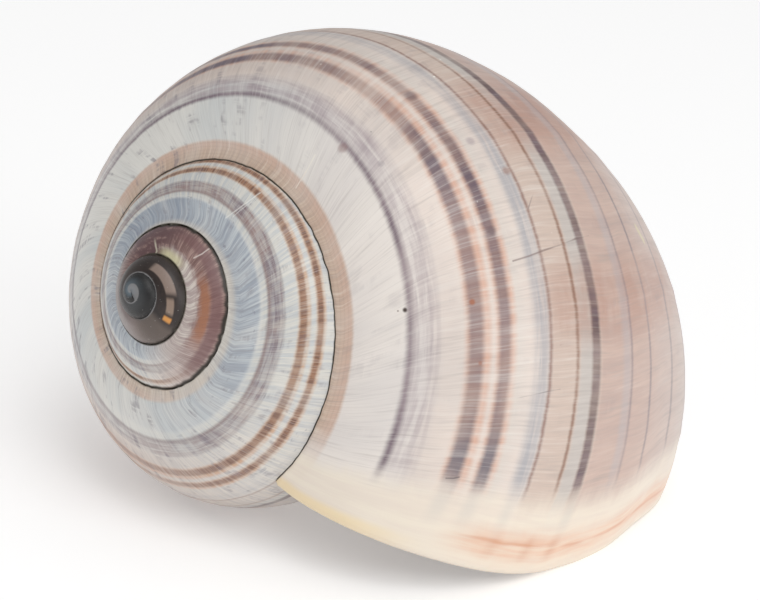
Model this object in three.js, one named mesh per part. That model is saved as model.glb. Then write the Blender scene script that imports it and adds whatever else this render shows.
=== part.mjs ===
// Apple snail shell, millimetres, +Z up. One closed solid: a right-handed spiral tube whose wall is
// shared with the turn before it, open at the lip, lying on its aperture as it rests on a table.
import * as THREE from 'three';

// ---- driving dimensions -------------------------------------------------------------------------
const MM = 0.08;              // millimetres for one unit of the growth laws below
const TURNS = 4.4;            // turns from the first whorl to the lip
const LIP_U = 0.02985;        // growth stage of the lip, in turns
const WALL = 1.2;             // wall thickness at the lip
const WALL_FALL = 0.45;       // how fast the wall thins inward, per turn (log)
const PILLAR = 1.6;           // half width of the columella at the lip
const PILLAR_FALL = 0.5;
const CAVITY_TURNS = 1.35;    // how deep the open inside runs from the lip
const LIP_RAMP = 0.6;         // turns over which the section turns into the slanted lip

// mesh resolution
const ROWS = 40;              // sections for each turn
const COL_SHOWN = 8;          // steps from the suture above to the suture below
const COL_BASE = 16;          // steps from there over the base
const COL_PIT = 2;            // steps down the umbilicus to the axis
const COL_WALL = 20;          // steps round the inner face of the wall
const COL_PILLAR = 2;         // steps up the columella

// growth laws: the natural logarithm of the section's size, its distance from the axis and its
// height below the apex, as polynomials of the stage u in turns (0 near the lip, negative inward),
// with a small change that belongs to the last eighth of a turn
const SIZE = [6.07099, 0.61122, -0.05187, 0.00105, 0.00279], SIZE_END = -0.00163;
const AWAY = [4.62133, 0.58177, 0.00479, 0.00311, -0.00131], AWAY_END = 0.0075;
const DOWN = [5.89994, 0.69664, 0.03603, 0.00477, -0.00295], DOWN_END = 0.0221;
const EVEN_BELOW = -3.2;      // inward of this stage the growth is a plain logarithmic spiral

// shape of the section: its radius round its own centre as a cosine and sine series of the angle,
// for the early whorls, and what the last whorl adds to it
const OLD_C = [0.60432, 0.10179, 0.00253, -0.07193, 0.04442, -0.01427, 0.01132, -0.01274, 0.00854, 0.00012, -0.00627, 0.00364];
const OLD_S = [0, 0.03381, -0.10262, 0.0596, 0.00777, -0.0076, -0.00179, -0.00104, 0.00806, -0.01061, 0.00372, 0.00061];
const NEW_C = [-0.01918, -0.02337, -0.00948, -0.00768, -0.00225, 0.00181, 0.00211, 0.00057, -0.00063, -0.00062, -0.0002, 0.00008];
const NEW_S = [0, -0.01728, -0.00634, 0.00498, 0.00643, 0.00108, -0.00227, -0.00192, 0.00018, 0.00121, 0.00097, 0.00035];

// the lip: how far it falls back from the suture, in turns, at each angle round the section
const LIP_ANGLE = [-2.6, -1.7, -1.4, -1.25, -1.1, -0.9, -0.5, 0.0, 0.4, 0.75, 1.0, 1.2];
const LIP_BACK = [-0.05, -0.041, -0.048, -0.059, -0.069, -0.0735, -0.067, -0.057, -0.0515, -0.0404, -0.0224, 0];

// resting position: the frame's X, Y and Z in the shell's own axes (its Z is the coiling axis,
// towards the apex), and the shift that puts the middle of the box over the origin
const REST_X = [0.436142, 0.600058, -0.670605];
const REST_Y = [-0.654114, -0.300378, -0.694196];
const REST_Z = [-0.617993, 0.74142, 0.2615];
const REST_SHIFT = [-20.6673, -14.9203, 22.0779];

// ---- the spiral -----------------------------------------------------------------------------------
const TAU = 2 * Math.PI;
const clamp = (x, a, b) => Math.min(b, Math.max(a, x));

function law(c, end, u) {
  const m = Math.max(u, EVEN_BELOW);
  const value = c[0] + m * (c[1] + m * (c[2] + m * (c[3] + m * c[4])));
  const slope = c[1] + m * (2 * c[2] + m * (3 * c[3] + m * 4 * c[4]));
  return MM * Math.exp(value + slope * (u - m) + end * Math.exp(7 * Math.min(u, 0.3)));
}

function sectionRadius(u, angle) {
  const w = Math.exp(Math.min(u, 0.3));
  let v = 0;
  for (let k = 0; k < OLD_C.length; k++) {
    v += (OLD_C[k] + w * NEW_C[k]) * Math.cos(k * angle) + (OLD_S[k] + w * NEW_S[k]) * Math.sin(k * angle);
  }
  return v;
}

// distance from the axis and height of the point at this stage and angle
function section(u, angle) {
  const h = law(SIZE, SIZE_END, u) * sectionRadius(u, angle);
  return [law(AWAY, AWAY_END, u) + h * Math.cos(angle), -law(DOWN, DOWN_END, u) + h * Math.sin(angle)];
}

// the suture at stage u: the angle on this whorl and on the whorl before it where the two meet
function suture(u) {
  let a = 1.45, b = 0.2;
  const h = 1e-4;
  for (let k = 0; k < 30; k++) {
    const [r1, z1] = section(u, a), [r0, z0] = section(u - 1, b);
    const [r1h, z1h] = section(u, a + h), [r0h, z0h] = section(u - 1, b + h);
    const fx = r1 - r0, fz = z1 - z0;
    const a11 = (r1h - r1) / h, a12 = -(r0h - r0) / h, a21 = (z1h - z1) / h, a22 = -(z0h - z0) / h;
    let det = a11 * a22 - a12 * a21;
    if (Math.abs(det) < 1e-9) det = 1e-9;
    a = clamp(a + clamp((-fx * a22 + fz * a12) / det, -0.25, 0.25), 0.6, 3.0);
    b = clamp(b + clamp((-a11 * fz + a21 * fx) / det, -0.25, 0.25), -1.0, 1.4);
  }
  return [a, b];
}

// the angle, past the base, where the section comes to this distance from the axis
function angleAt(u, distance, low, high) {
  for (let k = 0; k < 40; k++) {
    const m = (low + high) / 2;
    if (section(u, m)[0] < distance) low = m; else high = m;
  }
  return high;
}

// angles that step evenly along the section from a0 to a1
function evenAngles(u, a0, a1, n) {
  const m = 160, angle = [], length = [0];
  let last;
  for (let k = 0; k < m; k++) {
    const a = a0 + (a1 - a0) * k / (m - 1), p = section(u, a);
    angle.push(a);
    if (k) length.push(length[k - 1] + Math.hypot(p[0] - last[0], p[1] - last[1]));
    last = p;
  }
  const out = [];
  let k = 0;
  for (let j = 0; j <= n; j++) {
    const want = length[m - 1] * j / n;
    while (k < m - 2 && length[k + 1] < want) k++;
    const f = clamp((want - length[k]) / (length[k + 1] - length[k]), 0, 1);
    out.push(angle[k] + (angle[k + 1] - angle[k]) * f);
  }
  return out;
}

// natural cubic spline through the lip table
const lipSlopes = (() => {
  const x = LIP_ANGLE, y = LIP_BACK, n = x.length, h = [], al = [0], l = [1], mu = [0], z = [0], c = new Array(n).fill(0);
  for (let i = 0; i < n - 1; i++) h.push(x[i + 1] - x[i]);
  for (let i = 1; i < n - 1; i++) al.push(3 / h[i] * (y[i + 1] - y[i]) - 3 / h[i - 1] * (y[i] - y[i - 1]));
  for (let i = 1; i < n - 1; i++) {
    l.push(2 * (x[i + 1] - x[i - 1]) - h[i - 1] * mu[i - 1]);
    mu.push(h[i] / l[i]);
    z.push((al[i] - h[i - 1] * z[i - 1]) / l[i]);
  }
  for (let j = n - 2; j > 0; j--) c[j] = z[j] - mu[j] * c[j + 1];
  return { h, c };
})();

function lipBack(angle) {
  const x = LIP_ANGLE, y = LIP_BACK, n = x.length;
  if (angle >= x[n - 1]) return 0;
  const a = Math.max(angle, x[0]);
  let i = 0;
  while (i < n - 2 && a > x[i + 1]) i++;
  const { h, c } = lipSlopes, t = a - x[i];
  const b = (y[i + 1] - y[i]) / h[i] - h[i] * (c[i + 1] + 2 * c[i]) / 3, d = (c[i + 1] - c[i]) / (3 * h[i]);
  return y[i] + t * (b + t * (c[i] + t * d));
}

// ---- the solid ------------------------------------------------------------------------------------
const verts = [], faces = [];
const addPoint = (x, y, z) => verts.push([x, y, z]) - 1;
const addRound = (r, z, u) => addPoint(r * Math.cos(-TAU * u), r * Math.sin(-TAU * u), z);
const addFace = (a, b, c) => { if (a !== b && b !== c && a !== c) faces.push([a, c, b]); };
const addQuad = (a, b, c, d) => { addFace(a, b, c); addFace(a, c, d); };

const END = Math.round(ROWS * TURNS);
const LAST = COL_SHOWN + 1 + COL_BASE + COL_PIT;
const NEAR = COL_SHOWN + 1 + COL_BASE;
const CAVE = END - Math.round(CAVITY_TURNS * ROWS);
const rows = [];
for (let i = 0; i <= END; i++) {
  const u = LIP_U - (END - i) / ROWS, next = Math.min(u + 1, LIP_U);
  const top = suture(u)[0], low = suture(next)[1];
  const wallNext = WALL * Math.exp(WALL_FALL * (next - LIP_U)), pillarNext = PILLAR * Math.exp(PILLAR_FALL * (next - LIP_U));
  const pit = angleAt(u, 0, -Math.PI - 0.6, -2.2);
  const x = clamp((u - LIP_U + LIP_RAMP) / LIP_RAMP, 0, 1);
  rows.push({
    u, top, low, pit,
    near: angleAt(u, pillarNext, pit, -1.8),
    corner: low - wallNext * 1.15 / (law(SIZE, SIZE_END, u) * sectionRadius(u, low)),
    wall: WALL * Math.exp(WALL_FALL * Math.min(u - LIP_U, 0)),
    pillar: PILLAR * Math.exp(PILLAR_FALL * Math.min(u - LIP_U, 0)),
    ramp: x * x * (3 - 2 * x),
  });
}
const stage = (row, angle) => row.u + (row.ramp > 0 ? row.ramp * lipBack(angle) : 0);

// outer face: each section starts on the whorl before it, runs out over the shoulder and, where no
// later whorl covers it, on over the base and down the umbilicus to the axis
const grid = [];
for (let i = 0; i <= END; i++) {
  const row = rows[i], line = [];
  let angles = evenAngles(row.u, row.top, row.low, COL_SHOWN);
  if (i >= CAVE - ROWS) {
    angles = angles.concat(evenAngles(row.u, row.corner, row.near, COL_BASE), evenAngles(row.u, row.near, row.pit, COL_PIT).slice(1));
  }
  angles.forEach((angle, j) => {
    if (j === 0 && i >= ROWS) { line.push(grid[i - ROWS][COL_SHOWN]); return; }
    const u = stage(row, angle), [r, z] = section(u, angle);
    line.push(j === LAST ? addPoint(0, 0, z) : addRound(Math.max(r, 0), z, u));
  });
  grid.push(line);
}
for (let i = 0; i < END; i++) {
  const last = i >= END - ROWS ? LAST : COL_SHOWN;
  for (let j = 0; j < last; j++) addQuad(grid[i][j], grid[i][j + 1], grid[i + 1][j + 1], grid[i + 1][j]);
}

// apex
const tip = (() => {
  const [r, z] = section(rows[0].u, rows[0].top);
  return addPoint(0, 0, z + 0.35 * r);
})();
for (let i = 0; i < ROWS; i++) addFace(tip, grid[i][0], grid[i + 1][0]);
for (let j = 0; j < COL_SHOWN; j++) addFace(tip, grid[0][j + 1], grid[0][j]);

// the open inside: the whorl before on one side, the offset face of the wall on the other, and the
// columella between them
function inside(row, angle) {
  const h = 1e-4, u = stage(row, angle), [r, z] = section(u, angle), [r2, z2] = section(u, angle + h);
  const dr = (r2 - r) / h, dz = (z2 - z) / h, len = Math.hypot(dr, dz);
  return [r - row.wall * dz / len, z + row.wall * dr / len, u];
}
const loops = [];
for (let i = CAVE; i <= END; i++) {
  const row = rows[i], old = grid[i - ROWS].slice(COL_SHOWN + 1, NEAR + 1);
  const start = row.top - row.wall * 1.25 / (law(SIZE, SIZE_END, row.u) * sectionRadius(row.u, row.top));
  let low = row.pit, high = -1.9;
  for (let k = 0; k < 40; k++) {
    const m = (low + high) / 2;
    if (inside(row, m)[0] < row.pillar) low = m; else high = m;
  }
  const wall = evenAngles(row.u, start, high, COL_WALL).map((angle) => {
    const [r, z, u] = inside(row, angle);
    return addRound(r, z, u);
  });
  const a = verts[wall[COL_WALL]], b = verts[old[COL_BASE]], pillar = [];
  for (let j = 1; j <= COL_PILLAR; j++) {
    const f = j / (COL_PILLAR + 1);
    pillar.push(addPoint(a[0] + (b[0] - a[0]) * f, a[1] + (b[1] - a[1]) * f, a[2] + (b[2] - a[2]) * f));
  }
  loops.push({ old, wall, pillar, ring: [old[0], ...wall, ...pillar, ...old.slice(1).reverse()] });
}
const RING = loops[0].ring.length;
for (let k = 0; k + 1 < loops.length; k++) {
  const a = loops[k].ring, b = loops[k + 1].ring;
  for (let j = 0; j < RING; j++) addQuad(a[j], b[j], b[(j + 1) % RING], a[(j + 1) % RING]);
}
const deep = loops[0].ring;
const middle = [0, 1, 2].map((c) => deep.reduce((s, v) => s + verts[v][c], 0) / RING);
const cap = addPoint(...middle);
for (let j = 0; j < RING; j++) addFace(cap, deep[j], deep[(j + 1) % RING]);

// the lip: a strip from the outer edge to the mouth of the inside
function strip(outer, inner) {
  const along = (line) => {
    const s = [0];
    for (let k = 1; k < line.length; k++) {
      const a = verts[line[k - 1]], b = verts[line[k]];
      s.push(s[k - 1] + Math.hypot(a[0] - b[0], a[1] - b[1], a[2] - b[2]));
    }
    return s.map((v) => v / Math.max(s[s.length - 1], 1e-9));
  };
  const so = along(outer), si = along(inner);
  let i = 0, j = 0;
  while (i < outer.length - 1 || j < inner.length - 1) {
    if (j === inner.length - 1 || (i < outer.length - 1 && so[i + 1] <= si[j + 1])) {
      addFace(outer[i], outer[i + 1], inner[j]);
      i++;
    } else {
      addFace(outer[i], inner[j + 1], inner[j]);
      j++;
    }
  }
}
const mouth = loops[loops.length - 1];
const axisLine = [grid[END][LAST]];
for (let i = END - 1; i >= END - ROWS; i--) axisLine.push(grid[i][LAST]);
for (let j = LAST - 1; j >= NEAR; j--) axisLine.push(grid[END - ROWS][j]);
strip(grid[END].slice(0, LAST + 1), [mouth.old[0], ...mouth.wall]);
strip(axisLine, [mouth.wall[COL_WALL], ...mouth.pillar, mouth.old[COL_BASE]]);

// ---- geometry and placing ---------------------------------------------------------------------------
const order = new Map(), position = [], index = [];
for (const face of faces) {
  for (const v of face) {
    if (!order.has(v)) {
      order.set(v, position.length / 3);
      position.push(...verts[v]);
    }
    index.push(order.get(v));
  }
}
const geometry = new THREE.BufferGeometry();
geometry.setAttribute('position', new THREE.Float32BufferAttribute(position, 3));
geometry.setIndex(index);
geometry.computeVertexNormals();

const shell = new THREE.Mesh(geometry, new THREE.MeshStandardMaterial({ color: 0xd9cfc6, roughness: 0.35, metalness: 0 }));
shell.name = 'shell';
const turn = new THREE.Matrix4().makeBasis(
  new THREE.Vector3(REST_X[0], REST_Y[0], REST_Z[0]),
  new THREE.Vector3(REST_X[1], REST_Y[1], REST_Z[1]),
  new THREE.Vector3(REST_X[2], REST_Y[2], REST_Z[2]),
);
shell.quaternion.setFromRotationMatrix(turn);
shell.position.set(...REST_SHIFT);

const group = new THREE.Group();
group.add(shell);
export default group;
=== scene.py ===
import math

import bpy
import numpy as np
from mathutils import Matrix, Vector


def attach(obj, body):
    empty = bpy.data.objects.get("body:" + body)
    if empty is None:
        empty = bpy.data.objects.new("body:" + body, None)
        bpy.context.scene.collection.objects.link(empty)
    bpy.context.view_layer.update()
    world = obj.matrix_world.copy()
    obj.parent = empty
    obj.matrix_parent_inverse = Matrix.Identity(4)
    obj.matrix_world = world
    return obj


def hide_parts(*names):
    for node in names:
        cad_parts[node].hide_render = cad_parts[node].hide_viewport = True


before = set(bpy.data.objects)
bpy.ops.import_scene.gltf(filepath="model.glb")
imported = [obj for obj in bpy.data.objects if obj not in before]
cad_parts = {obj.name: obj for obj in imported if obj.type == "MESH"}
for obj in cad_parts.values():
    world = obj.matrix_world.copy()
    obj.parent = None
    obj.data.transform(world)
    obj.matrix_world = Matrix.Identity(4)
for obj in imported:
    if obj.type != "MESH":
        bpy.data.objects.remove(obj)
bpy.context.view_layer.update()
scene = bpy.context.scene

# ---- growth laws ------------------------------------------------------------------------------------
MM = 0.08
TAU = 2 * math.pi
LIP_U = 0.02985
WALL, WALL_FALL = 1.2, 0.45
PILLAR, PILLAR_FALL = 1.6, 0.5
CAVITY_TURNS, LIP_RAMP = 1.35, 0.6
SIZE = (6.07099, 0.61122, -0.05187, 0.00105, 0.00279, -0.00163)
AWAY = (4.62133, 0.58177, 0.00479, 0.00311, -0.00131, 0.0075)
DOWN = (5.89994, 0.69664, 0.03603, 0.00477, -0.00295, 0.0221)
EVEN_BELOW = -3.2
OLD_C = (0.60432, 0.10179, 0.00253, -0.07193, 0.04442, -0.01427, 0.01132, -0.01274, 0.00854, 0.00012, -0.00627, 0.00364)
OLD_S = (0, 0.03381, -0.10262, 0.0596, 0.00777, -0.0076, -0.00179, -0.00104, 0.00806, -0.01061, 0.00372, 0.00061)
NEW_C = (-0.01918, -0.02337, -0.00948, -0.00768, -0.00225, 0.00181, 0.00211, 0.00057, -0.00063, -0.00062, -0.0002, 0.00008)
NEW_S = (0, -0.01728, -0.00634, 0.00498, 0.00643, 0.00108, -0.00227, -0.00192, 0.00018, 0.00121, 0.00097, 0.00035)
LIP_ANGLE = np.array([-2.6, -1.7, -1.4, -1.25, -1.1, -0.9, -0.5, 0.0, 0.4, 0.75, 1.0, 1.2])
LIP_BACK = np.array([-0.05, -0.041, -0.048, -0.059, -0.069, -0.0735, -0.067, -0.057, -0.0515, -0.0404, -0.0224, 0])
REST = np.array([[0.436142, 0.600058, -0.670605], [-0.654114, -0.300378, -0.694196], [-0.617993, 0.74142, 0.2615]])
REST_SHIFT = np.array([-20.6673, -14.9203, 22.0779])

# mesh resolution
TURNS = 5.0
ROWS = 400  # sections for each turn
J1, JG, JP, JF = 24, 4, 54, 7  # columns: shown part, wall gap, base, umbilicus
LAST = J1 + JG + JP + JF
NEAR = J1 + JG + JP
CAVE_ROWS, JW, JC = 80, 60, 5


def law(c, u):
    m = np.maximum(u, EVEN_BELOW)
    v = c[0] + m * (c[1] + m * (c[2] + m * (c[3] + m * c[4])))
    s = c[1] + m * (2 * c[2] + m * (3 * c[3] + m * 4 * c[4]))
    return MM * np.exp(v + s * (u - m) + c[5] * np.exp(7 * np.minimum(u, 0.3)))


def rho(u, a):
    w, v = np.exp(np.minimum(u, 0.3)), 0
    for k in range(len(OLD_C)):
        v = v + (OLD_C[k] + w * NEW_C[k]) * np.cos(k * a) + (OLD_S[k] + w * NEW_S[k]) * np.sin(k * a)
    return v


def section(u, a):
    h = law(SIZE, u) * rho(u, a)
    return law(AWAY, u) + h * np.cos(a), h * np.sin(a) - law(DOWN, u)


def suture(u):
    """Angle on this whorl and on the one before where the two meet."""
    pt, pl, h = np.full_like(u, 1.45), np.full_like(u, 0.2), 1e-4
    for _ in range(30):
        r1, z1 = section(u, pt)
        r0, z0 = section(u - 1, pl)
        r1h, z1h = section(u, pt + h)
        r0h, z0h = section(u - 1, pl + h)
        fx, fz = r1 - r0, z1 - z0
        a11, a12, a21, a22 = (r1h - r1) / h, -(r0h - r0) / h, (z1h - z1) / h, -(z0h - z0) / h
        det = a11 * a22 - a12 * a21
        det = np.where(np.abs(det) < 1e-9, 1e-9, det)
        pt = np.clip(pt + np.clip((-fx * a22 + fz * a12) / det, -0.25, 0.25), 0.6, 3.0)
        pl = np.clip(pl + np.clip((-a11 * fz + a21 * fx) / det, -0.25, 0.25), -1.0, 1.4)
    return pt, pl


def angle_at(u, distance, lo, hi, inner=None):
    """The angle past the base where the section comes this near to the axis."""
    lo, hi = np.broadcast_to(lo, u.shape).copy(), np.broadcast_to(hi, u.shape).copy()
    for _ in range(40):
        m = (lo + hi) / 2
        r = inner(m) if inner else section(u, m)[0]
        near = r < distance
        lo, hi = np.where(near, m, lo), np.where(near, hi, m)
    return hi


def natural_spline(x, y):
    n = len(x)
    h = np.diff(x)
    A, b = np.eye(n), np.zeros(n)
    for i in range(1, n - 1):
        A[i, i - 1], A[i, i], A[i, i + 1] = h[i - 1], 2 * (h[i - 1] + h[i]), h[i]
        b[i] = 6 * ((y[i + 1] - y[i]) / h[i] - (y[i] - y[i - 1]) / h[i - 1])
    m = np.linalg.solve(A, b)

    def f(q):
        q = np.clip(q, x[0], x[-1])
        i = np.clip(np.searchsorted(x, q) - 1, 0, n - 2)
        a, c = x[i + 1] - q, q - x[i]
        return (m[i] * a**3 + m[i + 1] * c**3) / (6 * h[i]) + (y[i] / h[i] - m[i] * h[i] / 6) * a + (y[i + 1] / h[i] - m[i + 1] * h[i] / 6) * c

    return f


_lip = natural_spline(LIP_ANGLE, LIP_BACK)


def lip_back(a):
    return np.where(a >= LIP_ANGLE[-1], 0.0, _lip(a))


def smooth(x):
    x = np.clip(x, 0, 1)
    return x * x * (3 - 2 * x)


def ramp_of(u):
    return smooth((u - LIP_U + LIP_RAMP) / LIP_RAMP)


def arc_angles(u, a0, a1, f):
    """Angles at the fractions f of the section's length from a0 to a1, one row for each u."""
    t = np.linspace(0, 1, 120)
    a = a0[:, None] + (a1 - a0)[:, None] * t
    r, z = section(u[:, None], a)
    d = np.hypot(np.diff(r), np.diff(z)).cumsum(1)
    d = np.concatenate([np.zeros((len(u), 1)), d], 1)
    return np.stack([np.interp(f * d[k, -1], d[k], a[k]) for k in range(len(u))]), d[:, -1]


# ---- relief -----------------------------------------------------------------------------------------
_rng = np.random.default_rng(7)
_lattice = _rng.uniform(-1, 1, (16, 8192))


def wave(x, k):
    """Smooth noise in one dimension, -1 to 1."""
    x = np.asarray(x, float) + 4000.37
    i = np.floor(x).astype(int)
    f = x - i
    f = f * f * (3 - 2 * f)
    return _lattice[k, i % 8192] * (1 - f) + _lattice[k, (i + 1) % 8192] * f


def relief(g, a, u, top):
    """Height of the growth lines over the smooth shell, mm. top is the distance from the suture above."""
    s = np.exp(0.6 * np.minimum(u, 0))
    gg = g + 0.0016 * wave(a * 2.3 + g * 9, 4)
    h = 0.050 * wave(gg * 17, 0) + 0.030 * wave(gg * 43, 1) + 0.020 * wave(gg * 96, 2) + 0.012 * wave(gg * 190, 3)
    h = h * (0.65 + 0.35 * wave(a * 1.7 + 3, 5))
    # rests in growth: a shallow step where the lip stood still
    for g0, depth, width in ((-0.016, 0.05, 0.004), (-0.105, 0.05, 0.004), (-0.197, 0.07, 0.005), (-0.46, 0.05, 0.005), (-0.80, 0.06, 0.005)):
        h = h - depth * np.exp(-(((gg - g0) / width) ** 2))
    # faint spiral cords over the shoulder
    h = h + 0.012 * wave(a * 22, 6)
    h = h * smooth(top / (0.5 * s + 1e-6))
    # the edge of the whorl turns down into the suture
    h = h - 0.16 * np.exp(-((top / (0.32 * s + 0.05)) ** 2)) / s * np.minimum(s, 0.8)
    return s * h


# ---- the mesh ---------------------------------------------------------------------------------------
END = int(round(ROWS * TURNS))
U = LIP_U - (END - np.arange(END + 1)) / ROWS
pt, _ = suture(U)
UN = np.minimum(U + 1, LIP_U)
_, pl = suture(UN)
thick_n, pillar_n = WALL * np.exp(WALL_FALL * (UN - LIP_U)), PILLAR * np.exp(PILLAR_FALL * (UN - LIP_U))
per_mm = 1 / (law(SIZE, U) * rho(U, pl))
# sutures aren't ruled: they wander a little, the early ones more
pl = pl + per_mm * (0.030 * wave(U * 41, 7) + 0.095 * wave(U * 110, 8) * smooth((-0.6 - U) / 1.0) * smooth((U + 3.7) / 0.9) + 0.02 * wave(U * 300, 9))
pg = pl - thick_n * 1.15 * per_mm
pe = angle_at(U, 0.0, -math.pi - 0.6, -2.2)
p3 = angle_at(U, pillar_n, pe, -1.8)

even = np.linspace(0, 1, J1 + 1)
f1 = even - 0.72 * np.sin(TAU * even) / TAU
A1, L1 = arc_angles(U, pt, pl, f1)
A2, L2 = arc_angles(U, pl, pg, np.linspace(0, 1, JG + 1))
A3, L3 = arc_angles(U, pg, p3, np.linspace(0, 1, JP + 1))
A4, L4 = arc_angles(U, p3, pe, np.linspace(0, 1, JF + 1))
ANG = np.concatenate([A1, A2[:, 1:], A3[:, 1:], A4[:, 1:]], 1)
TOP = np.concatenate([f1[None] * L1[:, None], L1[:, None] + np.linspace(0, 1, JG + 1)[None, 1:] * L2[:, None],
                      (L1 + L2)[:, None] + np.linspace(0, 1, JP + 1)[None, 1:] * L3[:, None],
                      (L1 + L2 + L3)[:, None] + np.linspace(0, 1, JF + 1)[None, 1:] * L4[:, None]], 1)
LOW = np.maximum(L1[:, None] - TOP, 0)
LOW[U + 1 > LIP_U] = 99.0


def place(u, a):
    r, z = section(u, a)
    r = np.maximum(r, 0)
    return np.stack([r * np.cos(TAU * u), -r * np.sin(TAU * u), z], -1)


def place_out(u_row, a, top, lift=True):
    """Outer surface of the row, with relief, and the growth stage of each point."""
    u = u_row + ramp_of(u_row) * lip_back(a)
    p = place(u, a)
    g = u - lip_back(a)
    if lift:
        n = np.cross(place(u + 1e-4, a) - p, place(u, a + 1e-4) - p)
        n /= np.maximum(np.linalg.norm(n, axis=-1, keepdims=True), 1e-12)
        r = np.hypot(p[..., 0], p[..., 1])
        p = p + n * (relief(g, a, u, top) * smooth(r / 4 - 0.1) if np.ndim(r) else 0)[..., None]
    return p, g, u


# outward normal: u runs clockwise seen from the apex, angles run anticlockwise in the section
P, GROW, STAGE = place_out(U[:, None] + 0 * ANG, ANG, TOP)
P[:, LAST, :2] = 0.0
verts, ids = [], 0


def add(points):
    global ids
    points = np.asarray(points, float).reshape(-1, 3)
    verts.append(points)
    out = np.arange(ids, ids + len(points))
    ids += len(points)
    return out


full = np.arange(END + 1) >= END - ROWS
G = -np.ones((END + 1, LAST + 1), int)
use = np.zeros_like(G, bool)
use[:, : J1 + 1] = True
use[full] = True
use[ROWS:, 0] = False
G[use] = add(P[use])
G[ROWS:, 0] = G[: END + 1 - ROWS, J1]

# what the material reads, for each corner: growth stage, section angle, place along the spiral;
# distance below the suture above, above the suture below, and which surface it is
att = [np.stack([GROW, ANG, STAGE, TOP, LOW, np.zeros_like(TOP)], -1).reshape(-1, 6)]
AID = np.arange((END + 1) * (LAST + 1)).reshape(END + 1, LAST + 1)
att_n = AID.size


def add_att(rows):
    global att_n
    rows = np.asarray(rows, float).reshape(-1, 6)
    att.append(rows)
    out = np.arange(att_n, att_n + len(rows))
    att_n += len(rows)
    return out


quads, quad_att, tris, tri_att = [], [], [], []


def grid_faces(V, A):
    """Quads of a grid of ids, facing the same way as the outer surface's."""
    quads.append(np.stack([V[1:, :-1], V[1:, 1:], V[:-1, 1:], V[:-1, :-1]], -1).reshape(-1, 4))
    quad_att.append(np.stack([A[1:, :-1], A[1:, 1:], A[:-1, 1:], A[:-1, :-1]], -1).reshape(-1, 4))


grid_faces(G[: END - ROWS + 1, : J1 + 1], AID[: END - ROWS + 1, : J1 + 1])
grid_faces(G[END - ROWS:], AID[END - ROWS:])

# apex
r0, z0 = section(U[0], pt[0])
tip = add([0, 0, z0 + 0.25 * r0])[0]
tip_a = add_att([[GROW[0, 0], 1.6, U[0], 0.1, 0.1, 0]])[0]
for i in range(ROWS):
    tris.append((G[i + 1, 0], G[i, 0], tip))
    tri_att.append((AID[i + 1, 0], AID[i, 0], tip_a))
for j in range(J1):
    tris.append((G[0, j], G[0, j + 1], tip))
    tri_att.append((AID[0, j], AID[0, j + 1], tip_a))

# the open inside
UC = LIP_U - (int(CAVITY_TURNS * CAVE_ROWS) - np.arange(int(CAVITY_TURNS * CAVE_ROWS) + 1)) / CAVE_ROWS
NCV = len(UC)
thick, pillar = WALL * np.exp(WALL_FALL * (UC - LIP_U)), PILLAR * np.exp(PILLAR_FALL * (UC - LIP_U))
ptc, _ = suture(UC)
start = ptc - thick * 1.25 / (law(SIZE, UC) * rho(UC, ptc))
pec = angle_at(UC, 0.0, -math.pi - 0.6, -2.2)


def inside(a, u_row, t):
    h = 1e-4
    u = u_row + ramp_of(u_row) * lip_back(a)
    r, z = section(u, a)
    r2, z2 = section(u, a + h)
    dr, dz = (r2 - r) / h, (z2 - z) / h
    n = np.hypot(dr, dz)
    return r - t * dz / n, z + t * dr / n, u


s1 = angle_at(UC, pillar, pec, -1.9, inner=lambda m: inside(m, UC, thick)[0])
AW, LW = arc_angles(UC, start, s1, np.linspace(0, 1, JW + 1))
rw, zw, uw = inside(AW, UC[:, None], thick[:, None])
PW = np.stack([rw * np.cos(TAU * uw), -rw * np.sin(TAU * uw), zw], -1)
UO = UC - 1
plo = suture(UC)[1]
pgo = plo - thick * 1.15 / (law(SIZE, UO) * rho(UO, plo))
p3o = angle_at(UO, pillar, angle_at(UO, 0.0, -math.pi - 0.6, -2.2), -1.8)
AO, LO = arc_angles(UO, pgo, p3o, np.linspace(0, 1, JP + 1))
PO, GO, SO = place_out(UO[:, None] + 0 * AO, AO, 6.0 + 0 * AO)
PO0 = place(UO[:, None] + 0 * AO, AO)
keep = smooth(1 - (LIP_U - UC) / 0.12)[:, None, None]
PO = PO * keep + PO0 * (1 - keep)
f = (np.arange(1, JC + 1) / (JC + 1))[None, :, None]
PC = PW[:, -1][:, None] * (1 - f) + PO[:, -1][:, None] * f
last = NCV - 1
VO = np.concatenate([add(PO[:-1]).reshape(NCV - 1, JP + 1), G[END - ROWS, J1 + JG: NEAR + 1][None]])
VW = add(PW).reshape(NCV, JW + 1)
VC = add(PC).reshape(NCV, JC)
# the deep end of the parietal wall keeps clear of the mouth row's own points
ringv = np.concatenate([VO[:, :1], VW, VC, VO[:, :0:-1]], 1)
AOa = add_att(np.stack([GO, AO, SO, 6 + 0 * AO, 99 + 0 * AO, 2 + 0 * AO], -1)).reshape(NCV, JP + 1)
AWa = add_att(np.stack([uw - lip_back(AW), AW, uw, np.linspace(0, 1, JW + 1)[None] * LW[:, None], 99 + 0 * AW, 1 + 0 * AW], -1)).reshape(NCV, JW + 1)
ac = np.broadcast_to(UC[:, None], (NCV, JC))
ACa = add_att(np.stack([ac, -2.9 + 0 * ac, ac, 30 + 0 * ac, 99 + 0 * ac, 3 + 0 * ac], -1)).reshape(NCV, JC)
ringa = np.concatenate([AOa[:, :1], AWa, ACa, AOa[:, :0:-1]], 1)
ringv, ringa = np.concatenate([ringv, ringv[:, :1]], 1), np.concatenate([ringa, ringa[:, :1]], 1)
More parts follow.
